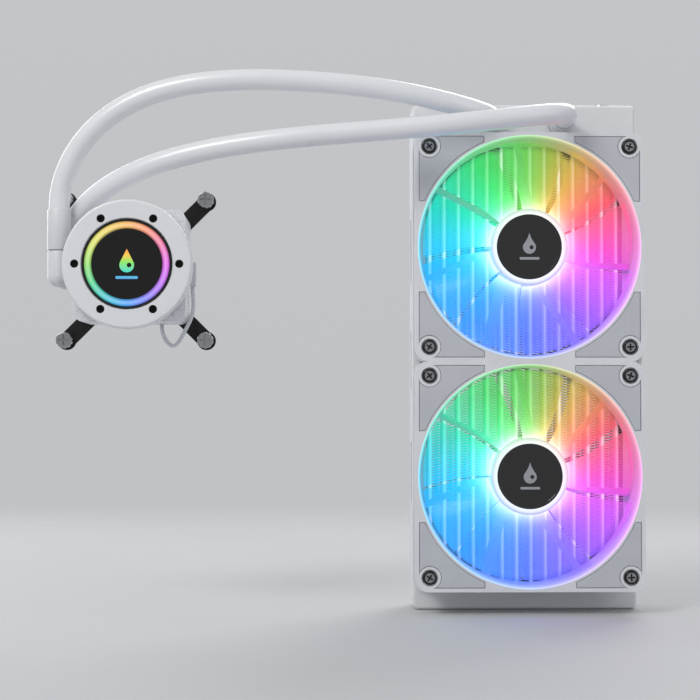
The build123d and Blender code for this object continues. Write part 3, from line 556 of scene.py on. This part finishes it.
# ------------------------------------------------------------------ all materials
def make_materials():
    lit_blade()
    lit_surface("hub_cup", (0.66, 0.67, 0.70), hub_glow, rough=0.3, coat=0.3)
    lit_surface("fan_frame", (0.85, 0.855, 0.87), duct_glow, rough=0.42, grain=0.10, scale=400.0)
    lit_surface("core_tube", (0.80, 0.81, 0.83), tube_glow, rough=0.38, grain=0.05)
    lit_surface("core_fin", (0.74, 0.75, 0.77), fin_glow, rough=0.34, metal=0.35, grain=0.05)
    surface("tank_paint", (0.86, 0.865, 0.875), rough=0.40, coat=0.15, grain=0.22, scale=520.0,
            var=0.02)
    surface("rail_paint", (0.85, 0.855, 0.865), rough=0.42, coat=0.12, grain=0.22, scale=520.0,
            var=0.02)
    surface("sleeve_white", (0.88, 0.885, 0.90), rough=0.30, coat=0.35, grain=0.06, scale=300.0,
            var=0.015)
    surface("ferrule_white", (0.84, 0.845, 0.86), rough=0.34, coat=0.2, grain=0.06, var=0.02)
    surface("elbow_white", (0.84, 0.845, 0.86), rough=0.36, grain=0.08, var=0.02)
    surface("cover_white", (0.87, 0.875, 0.89), rough=0.33, coat=0.25, grain=0.05, var=0.015)
    surface("housing_white", (0.85, 0.855, 0.87), rough=0.40, grain=0.12, scale=420.0, var=0.02)
    surface("pad_white", (0.735, 0.745, 0.77), rough=0.62, grain=0.16, scale=500.0, var=0.03)
    surface("badge_black", (0.035, 0.035, 0.04), rough=0.22, coat=0.6, grain=0.02, var=0.2)
    surface("badge_mark", (0.66, 0.67, 0.69), rough=0.30, metal=0.4, grain=0.02, var=0.05)
    surface("bezel_black", (0.02, 0.02, 0.024), rough=0.22, coat=0.35, spec=0.35, grain=0.02,
            var=0.2)
    surface("window_black", (0.008, 0.008, 0.010), rough=0.10, coat=0.35, spec=0.30, grain=0.0,
            var=0.2, rough_var=0.02)
    lit_surface("light_ring", (0.22, 0.22, 0.24), ring_glow, rough=0.28, coat=0.5, grain=0.02)
    lit_surface("emblem_lit", (0.2, 0.2, 0.2), emblem_glow, rough=0.3, grain=0.02)
    surface("dark_screw", (0.10, 0.10, 0.105), rough=0.34, metal=0.85, grain=0.10, scale=700.0,
            var=0.15)
    fan_screw()
    surface("white_cable", (0.80, 0.81, 0.83), rough=0.42, grain=0.10, scale=700.0, var=0.03)
    surface("nickel", (0.66, 0.66, 0.67), rough=0.24, metal=1.0, grain=0.08, scale=700.0, var=0.06)
    surface("spring_steel", (0.62, 0.62, 0.64), rough=0.28, metal=1.0, grain=0.06, scale=900.0)
    surface("copper_plate", (0.84, 0.50, 0.36), rough=0.22, metal=1.0, grain=0.10, scale=500.0,
            var=0.08, stretch=(1, 1, 14))
    surface("bracket_steel", (0.06, 0.06, 0.065), rough=0.46, metal=0.3, grain=0.25, scale=420.0,
            var=0.15)
    surface("pump_polymer", (0.09, 0.09, 0.095), rough=0.5, grain=0.25, scale=500.0, var=0.12)
    surface("hose_rubber", (0.05, 0.05, 0.055), rough=0.65, grain=0.18, scale=500.0, var=0.15)
    surface("plug_white", (0.78, 0.79, 0.81), rough=0.42, grain=0.12, scale=600.0, var=0.04)
    surface("board_green", (0.03, 0.16, 0.10), rough=0.38, coat=0.3, grain=0.16, scale=900.0,
            var=0.25)
    surface("stator_iron", (0.50, 0.32, 0.20), rough=0.40, metal=0.8, grain=0.3, scale=700.0,
            var=0.25, stretch=(1, 8, 1))
    surface("ferrite", (0.09, 0.09, 0.095), rough=0.6, metal=0.2, grain=0.2, scale=700.0, var=0.15)
    surface("yoke_steel", (0.56, 0.56, 0.58), rough=0.32, metal=1.0, grain=0.12, scale=400.0,
            var=0.08)
    surface("bearing_bronze", (0.62, 0.48, 0.28), rough=0.42, metal=1.0, grain=0.2, scale=800.0,
            var=0.12)
    surface("impeller_polymer", (0.78, 0.78, 0.76), rough=0.45, grain=0.1, scale=500.0)


make_materials()

# ------------------------------------------------------------------ fan blades
# Blade sections by radius; values between stations follow the polynomial through all four.
SECTION_R = [18.9, 31.0, 44.0, 58.0]
STAGGER = [44, 35, 26, 20]                     # degrees
CHORD = [16.5, 25.0, 33.5, 43.0]
CAMBER = [1.5, 2.2, 2.5, 2.5]
THICKNESS = [2.0, 1.8, 1.6, 1.5]
SKEW = [0.5, 1.6, 4.6, 9.0]                    # sideways shift of the section
BLADE_ROOT_R, BLADE_TIP_R = 19.4, BLADE_R - 0.02
BLADE_MID_Z, BLADE_BACK_Z, BLADE_FRONT_Z = 13.4, 4.95, 22.15   # from the fan's back
TIP_START_R, TIP_LENGTH, TIP_THINNING = 54.9, 0.6, 0.65        # thinner towards the tip
EDGE_SHARE, EDGE_POWER = 0.12, 2.4             # thickness left at the edges; how full between
BLADE_ROWS, BLADE_COLS = 34, 26
SOLVE_STEPS = 6


def at_radius(values, x):
    """Lagrange polynomial through the section values."""
    total = 0.0
    for i, value in enumerate(values):
        for j, station in enumerate(SECTION_R):
            if j != i:
                value *= (x - station) / (SECTION_R[i] - station)
        total += value
    return total


def blade_point(radius, u, side):
    """Point on the cylinder of this radius; u runs -1..1 along the chord, side picks the face."""
    tip = 1.0 - TIP_THINNING * max(0.0, (radius - TIP_START_R) / TIP_LENGTH) ** 2
    fullness = EDGE_SHARE + (1 - EDGE_SHARE) * (1 - abs(u) ** EDGE_POWER) ** 0.5
    x = radius
    for _ in range(SOLVE_STEPS):
        stagger = math.radians(at_radius(STAGGER, x))
        half_thick = at_radius(THICKNESS, x) * tip * fullness / 2
        along = u * at_radius(CHORD, x) / 2
        off = at_radius(CAMBER, x) * (1 - u * u) + side * half_thick
        y = at_radius(SKEW, x) + along * math.cos(stagger) - off * math.sin(stagger)
        z = BLADE_MID_Z + along * math.sin(stagger) + off * math.cos(stagger)
        x = math.sqrt(max(1.0, radius * radius - y * y))
    return x, y, min(BLADE_FRONT_Z, max(BLADE_BACK_Z, z))


def blade_shell():
    """One blade pointing along x, as a closed shell of cambered sections."""
    rows, cols = BLADE_ROWS, BLADE_COLS
    n = 2 * cols
    verts, faces = [], []
    for i in range(rows):
        radius = BLADE_ROOT_R + (BLADE_TIP_R - BLADE_ROOT_R) * i / (rows - 1)
        for k in range(n):
            side = 1 if k < cols else -1
            j = k if k < cols else n - 1 - k
            u = -math.cos(math.pi * (j + 0.5) / cols)          # crowded at the edges
            verts.append(blade_point(radius, u, side))
    for i in range(rows - 1):
        for k in range(n):
            m = (k + 1) % n
            faces.append((i * n + k, i * n + m, (i + 1) * n + m, (i + 1) * n + k))
    for base in (0, (rows - 1) * n):
        for j in range(cols - 1):
            faces.append((base + j, base + j + 1, base + n - 2 - j, base + n - 1 - j))
    return verts, faces


def turned(data, degrees, centre_y):
    """Copy turned about the fan's axis and set on the fan's back plane."""
    cos, sin = math.cos(math.radians(degrees)), math.sin(math.radians(degrees))
    verts = [(cos * x - sin * y, centre_y + sin * x + cos * y, z + RAD_T) for x, y, z in data[0]]
    return verts, data[1]


# ------------------------------------------------------------------ fan hub and badge
BORE_R, BOSS_R, CUP_INNER_R = 1.6, 3.2, 18.5
HUB_EDGE_R, HUB_EDGE_Z = 1.6, 22.0             # rounding of the cup's front edge, its centre
HUB_FACE_Z = HUB_EDGE_Z + HUB_EDGE_R
BADGE_EDGE_R = 0.25
MARK_HEIGHT, MARK_RISE = 11.0, 1.8             # drop's height, and its centre above the axis
MARK_BACK_Z, MARK_FRONT_Z = 23.62, 23.9


def rounded_edge(r, z, size, angles):
    return [(r - size + size * math.cos(a), z + size * math.sin(a)) for a in angles]


# (radius, z from the fan's back)
HUB_PROFILE = [
    (BORE_R, 16.0), (BOSS_R, 16.0), (BOSS_R, 21.8), (CUP_INNER_R, 21.8), (CUP_INNER_R, 4.8),
    (HUB_R - 0.3, 4.8), (HUB_R, 5.1),
    *rounded_edge(HUB_R, HUB_EDGE_Z, HUB_EDGE_R, [math.pi / 2 * i / 8 for i in range(9)]),
    (BADGE_R + 0.32, HUB_FACE_Z), (BADGE_R + 0.15, 23.45), (BADGE_R + 0.15, 22.9), (BORE_R, 22.9),
]
BADGE_PROFILE = [
    (0, 22.92), (BADGE_R - 0.1, 22.92), (BADGE_R, 23.02), (BADGE_R, 23.5),
    *rounded_edge(BADGE_R, 23.5, BADGE_EDGE_R, (0.5, 1.0, math.pi / 2)),
    (BADGE_R - 1.2, 23.75), (BADGE_R - 1.3, 23.68), (0, 23.68),
]


def drop_outline(height, cy):
    """Drop with a round bottom and shoulders that curve in to a point at the top."""
    r = height * 0.31
    bowl = arc(0, r - height / 2, r, 152, 388, 40)
    tip = (0.0, height / 2)

    def shoulder(start, end, bend):
        return [(start[0] + (end[0] - start[0]) * t + bend * math.sin(math.pi * t),
                 start[1] + (end[1] - start[1]) * t) for t in [i / 8 for i in range(1, 8)]]

    bend = 0.035 * height
    points = bowl + shoulder(bowl[-1], tip, -bend) + [tip] + shoulder(tip, bowl[0], bend)
    return [(x, y + cy) for x, y in points]


def rounded_rect(cy, w, h, r):
    out = []
    for sx, sy, start in ((1, 1, 0), (-1, 1, 90), (-1, -1, 180), (1, -1, 270)):
        out += arc(sx * (w / 2 - r), cy + sy * (h / 2 - r), r, start, start + 90, 8)
    return out


def badge_mark(height, cy, z0, z1):
    """Drop with a round hole low on its right, over a bar; all sized from the drop's height."""
    hole = arc(height * 0.1, cy - height * 0.19, height * 0.1, 0, 345, 23)
    bar = rounded_rect(cy - height * 0.72, w=height * 0.95, h=height * 0.12, r=height * 0.055)
    return merge([prism([drop_outline(height, cy), hole], z0, z1), prism([bar], z0, z1)])


def make_fan(name, cy, blade):
    rotor = name + "_rotor"
    blades = merge([turned(blade, 360 / N_BLADES * k, cy) for k in range(N_BLADES)])
    add_mesh(name + "_blades", blades, "lit_blade", rotor, angle=60)
    hub = add_mesh(name + "_hub", lathe(HUB_PROFILE, cy), "hub_cup", rotor)
    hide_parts(name + "_fan_rotor")
    disc = add_mesh(name + "_badge_disc", lathe(BADGE_PROFILE, cy), "badge_black", rotor)
    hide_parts(name + "_fan_badge")
    mark = badge_mark(MARK_HEIGHT, cy + MARK_RISE, RAD_T + MARK_BACK_Z, RAD_T + MARK_FRONT_Z)
    add_mesh(name + "_badge_mark", mark, "badge_mark", rotor)


one_blade = blade_shell()
for fan_name, fan_y in FANS.items():
    make_fan(fan_name, fan_y, one_blade)

# ------------------------------------------------------------------ hose sleeves
SLEEVE_R, SLEEVE_INNER_R = 5.4, 4.77
PORT_X, PORT_Y = 19.0, 128.0                   # hose ports on the upper tank
HOSE_FOOT = RAD_T + 3.05
ELBOW_GAP = 0.3                                # sleeve's end above the elbow
STRAIGHT_STEPS = 12
CURVE_STEP, MIN_STEPS = 1.6, 6                 # spacing along the curve, fewest steps per span
HOSES = {
    "return_hose": dict(
        port_x=-PORT_X, rise_z=45.0, elbow=(PUMP_X - 37.3, PUMP_Y - 4.7, 50.0),
        elbow_height=12.7, run=24.0,
        middle=[(-50.8, 134.9, 65.0), (-108.0, 142.6, 68.5), (-165.0, 143.2, 66.8),
                (-208.0, 132.8, 60.6), (-234.6, 111.2, 54.4)]),
    "supply_hose": dict(
        port_x=PORT_X, rise_z=56.0, elbow=(PUMP_X - 35.5, PUMP_Y - 5.0, 37.0),
        elbow_height=8.0, run=9.5,
        middle=[(-20.2, 122.2, 78.6), (-83.0, 116.6, 76.0), (-135.7, 112.3, 71.0),
                (-180.0, 105.6, 62.6), (-214.2, 94.2, 52.2), (-236.0, 78.2, 42.0)]),
}


def clamped_cubic(points, start_dir, end_dir):
    """Points along the smooth cubic spline through the given ones, with set end directions."""
    P = np.array(points, float)
    n = len(P)
    span = np.linalg.norm(np.diff(P, axis=0), axis=1)
    matrix, rhs = np.zeros((n, n)), np.zeros((n, 3))
    matrix[0, 0] = matrix[-1, -1] = 1.0
    rhs[0], rhs[-1] = start_dir, end_dir
    for i in range(1, n - 1):
        before, after = span[i - 1], span[i]
        matrix[i, i - 1], matrix[i, i], matrix[i, i + 1] = after, 2 * (before + after), before
        rhs[i] = 3 * (after * (P[i] - P[i - 1]) / before + before * (P[i + 1] - P[i]) / after)
    slope = np.linalg.solve(matrix, rhs)
    out = []
    for i in range(n - 1):
        steps = max(MIN_STEPS, int(span[i] / CURVE_STEP))
        for k in range(steps):
            s = k / steps
            out.append((2 * s**3 - 3 * s**2 + 1) * P[i]
                       + (s**3 - 2 * s**2 + s) * span[i] * slope[i]
                       + (3 * s**2 - 2 * s**3) * P[i + 1]
                       + (s**3 - s**2) * span[i] * slope[i + 1])
    return out + [P[-1]]


def straight(start, end):
    """Evenly spaced points from the start, leaving out the end."""
    a, b = np.array(start, float), np.array(end, float)
    return [a + (b - a) * i / STRAIGHT_STEPS for i in range(STRAIGHT_STEPS)]


def hose_path(port_x, rise_z, middle, elbow, elbow_height, run):
    """Forward out of the tank, over to the pump, then straight down to its elbow."""
    x, y, z = elbow
    top = y + elbow_height
    rise, drop, end = (port_x, PORT_Y, rise_z), (x, top + run, z), (x, top + ELBOW_GAP, z)
    path = straight((port_x, PORT_Y, HOSE_FOOT), rise)
    path += clamped_cubic([rise, *middle, drop], start_dir=(0, 0, 1), end_dir=(0, -1, 0))
    return path + straight(drop, end)[1:] + [np.array(end, float)]


for hose, route in HOSES.items():
    sleeve = tube(hose_path(**route), SLEEVE_R, SLEEVE_INNER_R, segs=48)
    skin = add_mesh(hose + "_sleeve_skin", sleeve, "sleeve_white", "cooler",
                    angle=50)
    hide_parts(hose + "_sleeve")

# ------------------------------------------------------------------ corrugated fins
CORE_HALF = 58.77                              # half the core's width
FIN_Y0, FIN_Y1, FIN_Z0, FIN_Z1 = -116.9, 115.9, 4.3, 22.7
FIN_STEP, FIN_THICK, FIN_GAP = 0.72, 0.10, 0.03
FIN_MAX_HALF = 0.9                             # limit on the slanted sheet's half width in x


def fin_strip(x0, x1):
    """One zigzag sheet filling the gap between two tubes."""
    n = int((FIN_Y1 - FIN_Y0) / FIN_STEP)
    half = min(FIN_THICK / 2 * math.hypot(x1 - x0, FIN_STEP) / FIN_STEP, FIN_MAX_HALF)
    verts, faces = [], []
    for i in range(n + 1):
        y = FIN_Y0 + i * FIN_STEP
        if i % 2 == 0:
            right = x1 - FIN_THICK / 2
            left = right - 2 * half
        else:
            left = x0 + FIN_THICK / 2
            right = left + 2 * half
        for z in (FIN_Z0, FIN_Z1):
            verts += [(left, y, z), (right, y, z)]
    for i in range(n):
        a, b = i * 4, (i + 1) * 4
        faces += [(a, a + 1, b + 1, b), (a + 2, b + 2, b + 3, a + 3),
                  (a, b, b + 2, a + 2), (a + 1, a + 3, b + 3, b + 1)]
    faces += [(0, 2, 3, 1), (n * 4, n * 4 + 1, n * 4 + 3, n * 4 + 2)]
    return verts, faces


tube_xs = [(i - (N_TUBES - 1) / 2) * TUBE_PITCH for i in range(N_TUBES)]
gap_lefts = [-CORE_HALF] + [x + TUBE_HALF for x in tube_xs]
gap_rights = [x - TUBE_HALF for x in tube_xs] + [CORE_HALF]
strips = [fin_strip(a + FIN_GAP, b - FIN_GAP) for a, b in zip(gap_lefts, gap_rights)]
fins = add_mesh("core_fins_fine", merge(strips), "core_fin", "cooler", angle=20)
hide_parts("core_fins")

# ------------------------------------------------------------------ finishes on the CAD solids
# material: the solids that wear it
FINISHES = {
    "tank_paint": "upper_tank lower_tank",
    "rail_paint": "left_side_rail right_side_rail",
    "core_tube": "core_tubes",
    "core_fin": "core_fins",
    "nickel": "fill_plug tank_spigots impeller_shaft bracket_screws",
    "hose_rubber": "return_hose supply_hose cold_plate_seal elbow_seals",
    "sleeve_white": "return_hose_sleeve supply_hose_sleeve",
    "ferrule_white": "hose_ferrules",
    "copper_plate": "cold_plate",
    "dark_screw": "cold_plate_screws cover_screws",
    "pump_polymer": "pump_base",
    "impeller_polymer": "impeller",
    "ferrite": "impeller_magnet",
    "stator_iron": "pump_stator",
    "board_green": "pump_board",
    "housing_white": "pump_housing",
    "cover_white": "cover_ring",
    "bezel_black": "cap_bezel",
    "light_ring": "cap_light_ring",
    "window_black": "cap_window",
    "emblem_lit": "cap_emblem",
    "bracket_steel": "socket_bracket",
    "spring_steel": "bracket_springs",
    "elbow_white": "front_elbow rear_elbow",
    "white_cable": "pump_lead",
    "plug_white": "lead_plugs",
    "pad_white": "fan_pads",
    "fan_screw": "fan_screws",
    "bearing_bronze": "fan_bearings",
}
# solid of each fan, without the fan's name: material
FAN_FINISHES = {
    "fan_frame": "fan_frame", "fan_rotor": "hub_cup", "fan_badge": "badge_black",
    "rotor_yoke": "yoke_steel", "rotor_magnet": "ferrite", "rotor_shaft": "nickel",
    "fan_stator": "stator_iron", "fan_board": "board_green", "fan_lead": "white_cable",
}
# bevel width: the solids that have it
BEVELS = {
    0.18: "left_side_rail right_side_rail",
    0.20: "socket_bracket front_elbow rear_elbow cold_plate",
    0.22: "upper_fan_frame lower_fan_frame",
    0.25: "lead_plugs pump_base fill_plug",
    0.30: "fan_pads hose_ferrules",
    0.35: "pump_housing",
}
WELD_DISTANCE = 0.000004                       # metres


def by_solid(table):
    return {solid: key for key, solids in table.items() for solid in solids.split()}


finish_of, bevel_of = by_solid(FINISHES), by_solid(BEVELS)
for fan_name in FANS:
    finish_of.update({f"{fan_name}_{part}": look for part, look in FAN_FINISHES.items()})
for solid, obj in NODES.items():
    obj.data.materials.clear()
    obj.data.materials.append(MATERIALS[finish_of[solid]])
    if obj.hide_render:
        continue
    obj.modifiers.new("weld", "WELD").merge_threshold = WELD_DISTANCE
    if solid in bevel_of:
        bevel = obj.modifiers.new("bevel", "BEVEL")
        bevel.width, bevel.segments = bevel_of[solid] / MM, 2
        bevel.limit_method, bevel.angle_limit = "ANGLE", math.radians(40)
        bevel.use_clamp_overlap = True
        bevel.harden_normals = False

# ------------------------------------------------------------------ studio, in the row frame
FLOOR_R, FLOOR_SEGS, FLOOR_DROP = 2.4, 96, 0.0002


def make_floor():
    """Pale floor that fades into the pale surround, so there is no horizon line."""
    g = new_material("studio_floor")
    drift = g.noise(g.object_coords(), scale=6.0, detail=2.0)
    shade = g.ramp(drift, [(0.3, (0.50, 0.506, 0.52)), (0.7, (0.52, 0.526, 0.54))])
    paint = g.node("BsdfPrincipled", {"Base Color": shade, "Roughness": 0.75})
    point = g.node("NewGeometry").outputs["Position"]
    distance = g.node("VectorMath", {0: point}, operation="LENGTH").outputs["Value"]
    fade = g.greys(g.div(distance, FLOOR_R), (0.12, 0.0), (0.46, 1.0), interpolation="EASE")
    clear = g.node("BsdfTransparent")
    faded = g.mix_shader(paint.outputs[0], clear.outputs[0], amount=fade)
    g.node("OutputMaterial", {0: faded})

    n, z = FLOOR_SEGS, cad_lo.z - FLOOR_DROP
    angles = [TAU * i / n for i in range(n)]
    verts = [(0, 0, z)] + [(FLOOR_R * math.cos(a), FLOOR_R * math.sin(a), z) for a in angles]
    mesh = bpy.data.meshes.new("studio_floor")
    mesh.from_pydata(verts, [], [(0, 1 + i, 1 + (i + 1) % n) for i in range(n)])
    mesh.materials.append(MATERIALS["studio_floor"])
    floor = bpy.data.objects.new("studio_floor", mesh)
    SCENE.collection.objects.link(floor)


def make_world():
    """Pale surround, lighter overhead, and a little paler to the camera than the light it gives."""
    SCENE.world = bpy.data.worlds.new("studio")
    g = Graph(SCENE.world)
    direction = g.node("SeparateXYZ", {0: g.node("TexCoord").outputs["Generated"]})
    height = g.scaled(direction.outputs[2], by=0.5, plus=0.5)
    sky = g.ramp(height, [(0.0, (0.66, 0.67, 0.69)), (0.45, (0.66, 0.67, 0.69)),
                          (0.60, (0.68, 0.69, 0.71)), (1.0, (0.80, 0.81, 0.83))])
    seen = g.node("LightPath").outputs["Is Camera Ray"]
    strength = g.scaled(seen, by=0.10, plus=0.70)
    background = g.node("Background", {0: sky, 1: strength})
    g.node("OutputWorld", {0: background.outputs[0]})


def aim(obj, location, target):
    obj.location = location
    obj.rotation_mode = "QUATERNION"
    obj.rotation_quaternion = (Vector(target) - obj.location).to_track_quat("-Z", "Y")


def area_light(name, location, size, power, colour, target=(-0.06, 0, 0.0)):
    light = bpy.data.lights.new(name, "AREA")
    light.shape, light.size, light.energy, light.color = "SQUARE", size, power, colour
    obj = bpy.data.objects.new(name, light)
    SCENE.collection.objects.link(obj)
    aim(obj, location, target)


def make_camera():
    camera = bpy.data.cameras.new("camera")
    obj = bpy.data.objects.new("camera", camera)
    SCENE.collection.objects.link(obj)
    aim(obj, location=(-0.1122, -0.942, -0.0213), target=(-0.0935, -0.03, 0.0065))
    camera.sensor_width = 36.0
    camera.lens = 88.0
    camera.clip_start, camera.clip_end = 0.01, 50.0
    SCENE.camera = obj


make_floor()
make_world()
area_light("key", (-0.75, -0.85, 0.85), size=0.5, power=7.5, colour=(1.0, 0.985, 0.96))
area_light("fill", (0.85, -0.75, 0.25), size=0.8, power=1.6, colour=(0.94, 0.97, 1.0))
area_light("rim", (0.35, 0.75, 0.75), size=0.5, power=5.0, colour=WHITE,
           target=(-0.06, 0, 0.05))
area_light("back_fill", (-0.7, 0.75, 0.30), size=0.7, power=3.0, colour=(0.97, 0.98, 1.0))
make_camera()
SCENE.view_settings.view_transform = "Standard"
SCENE.view_settings.look = "None"
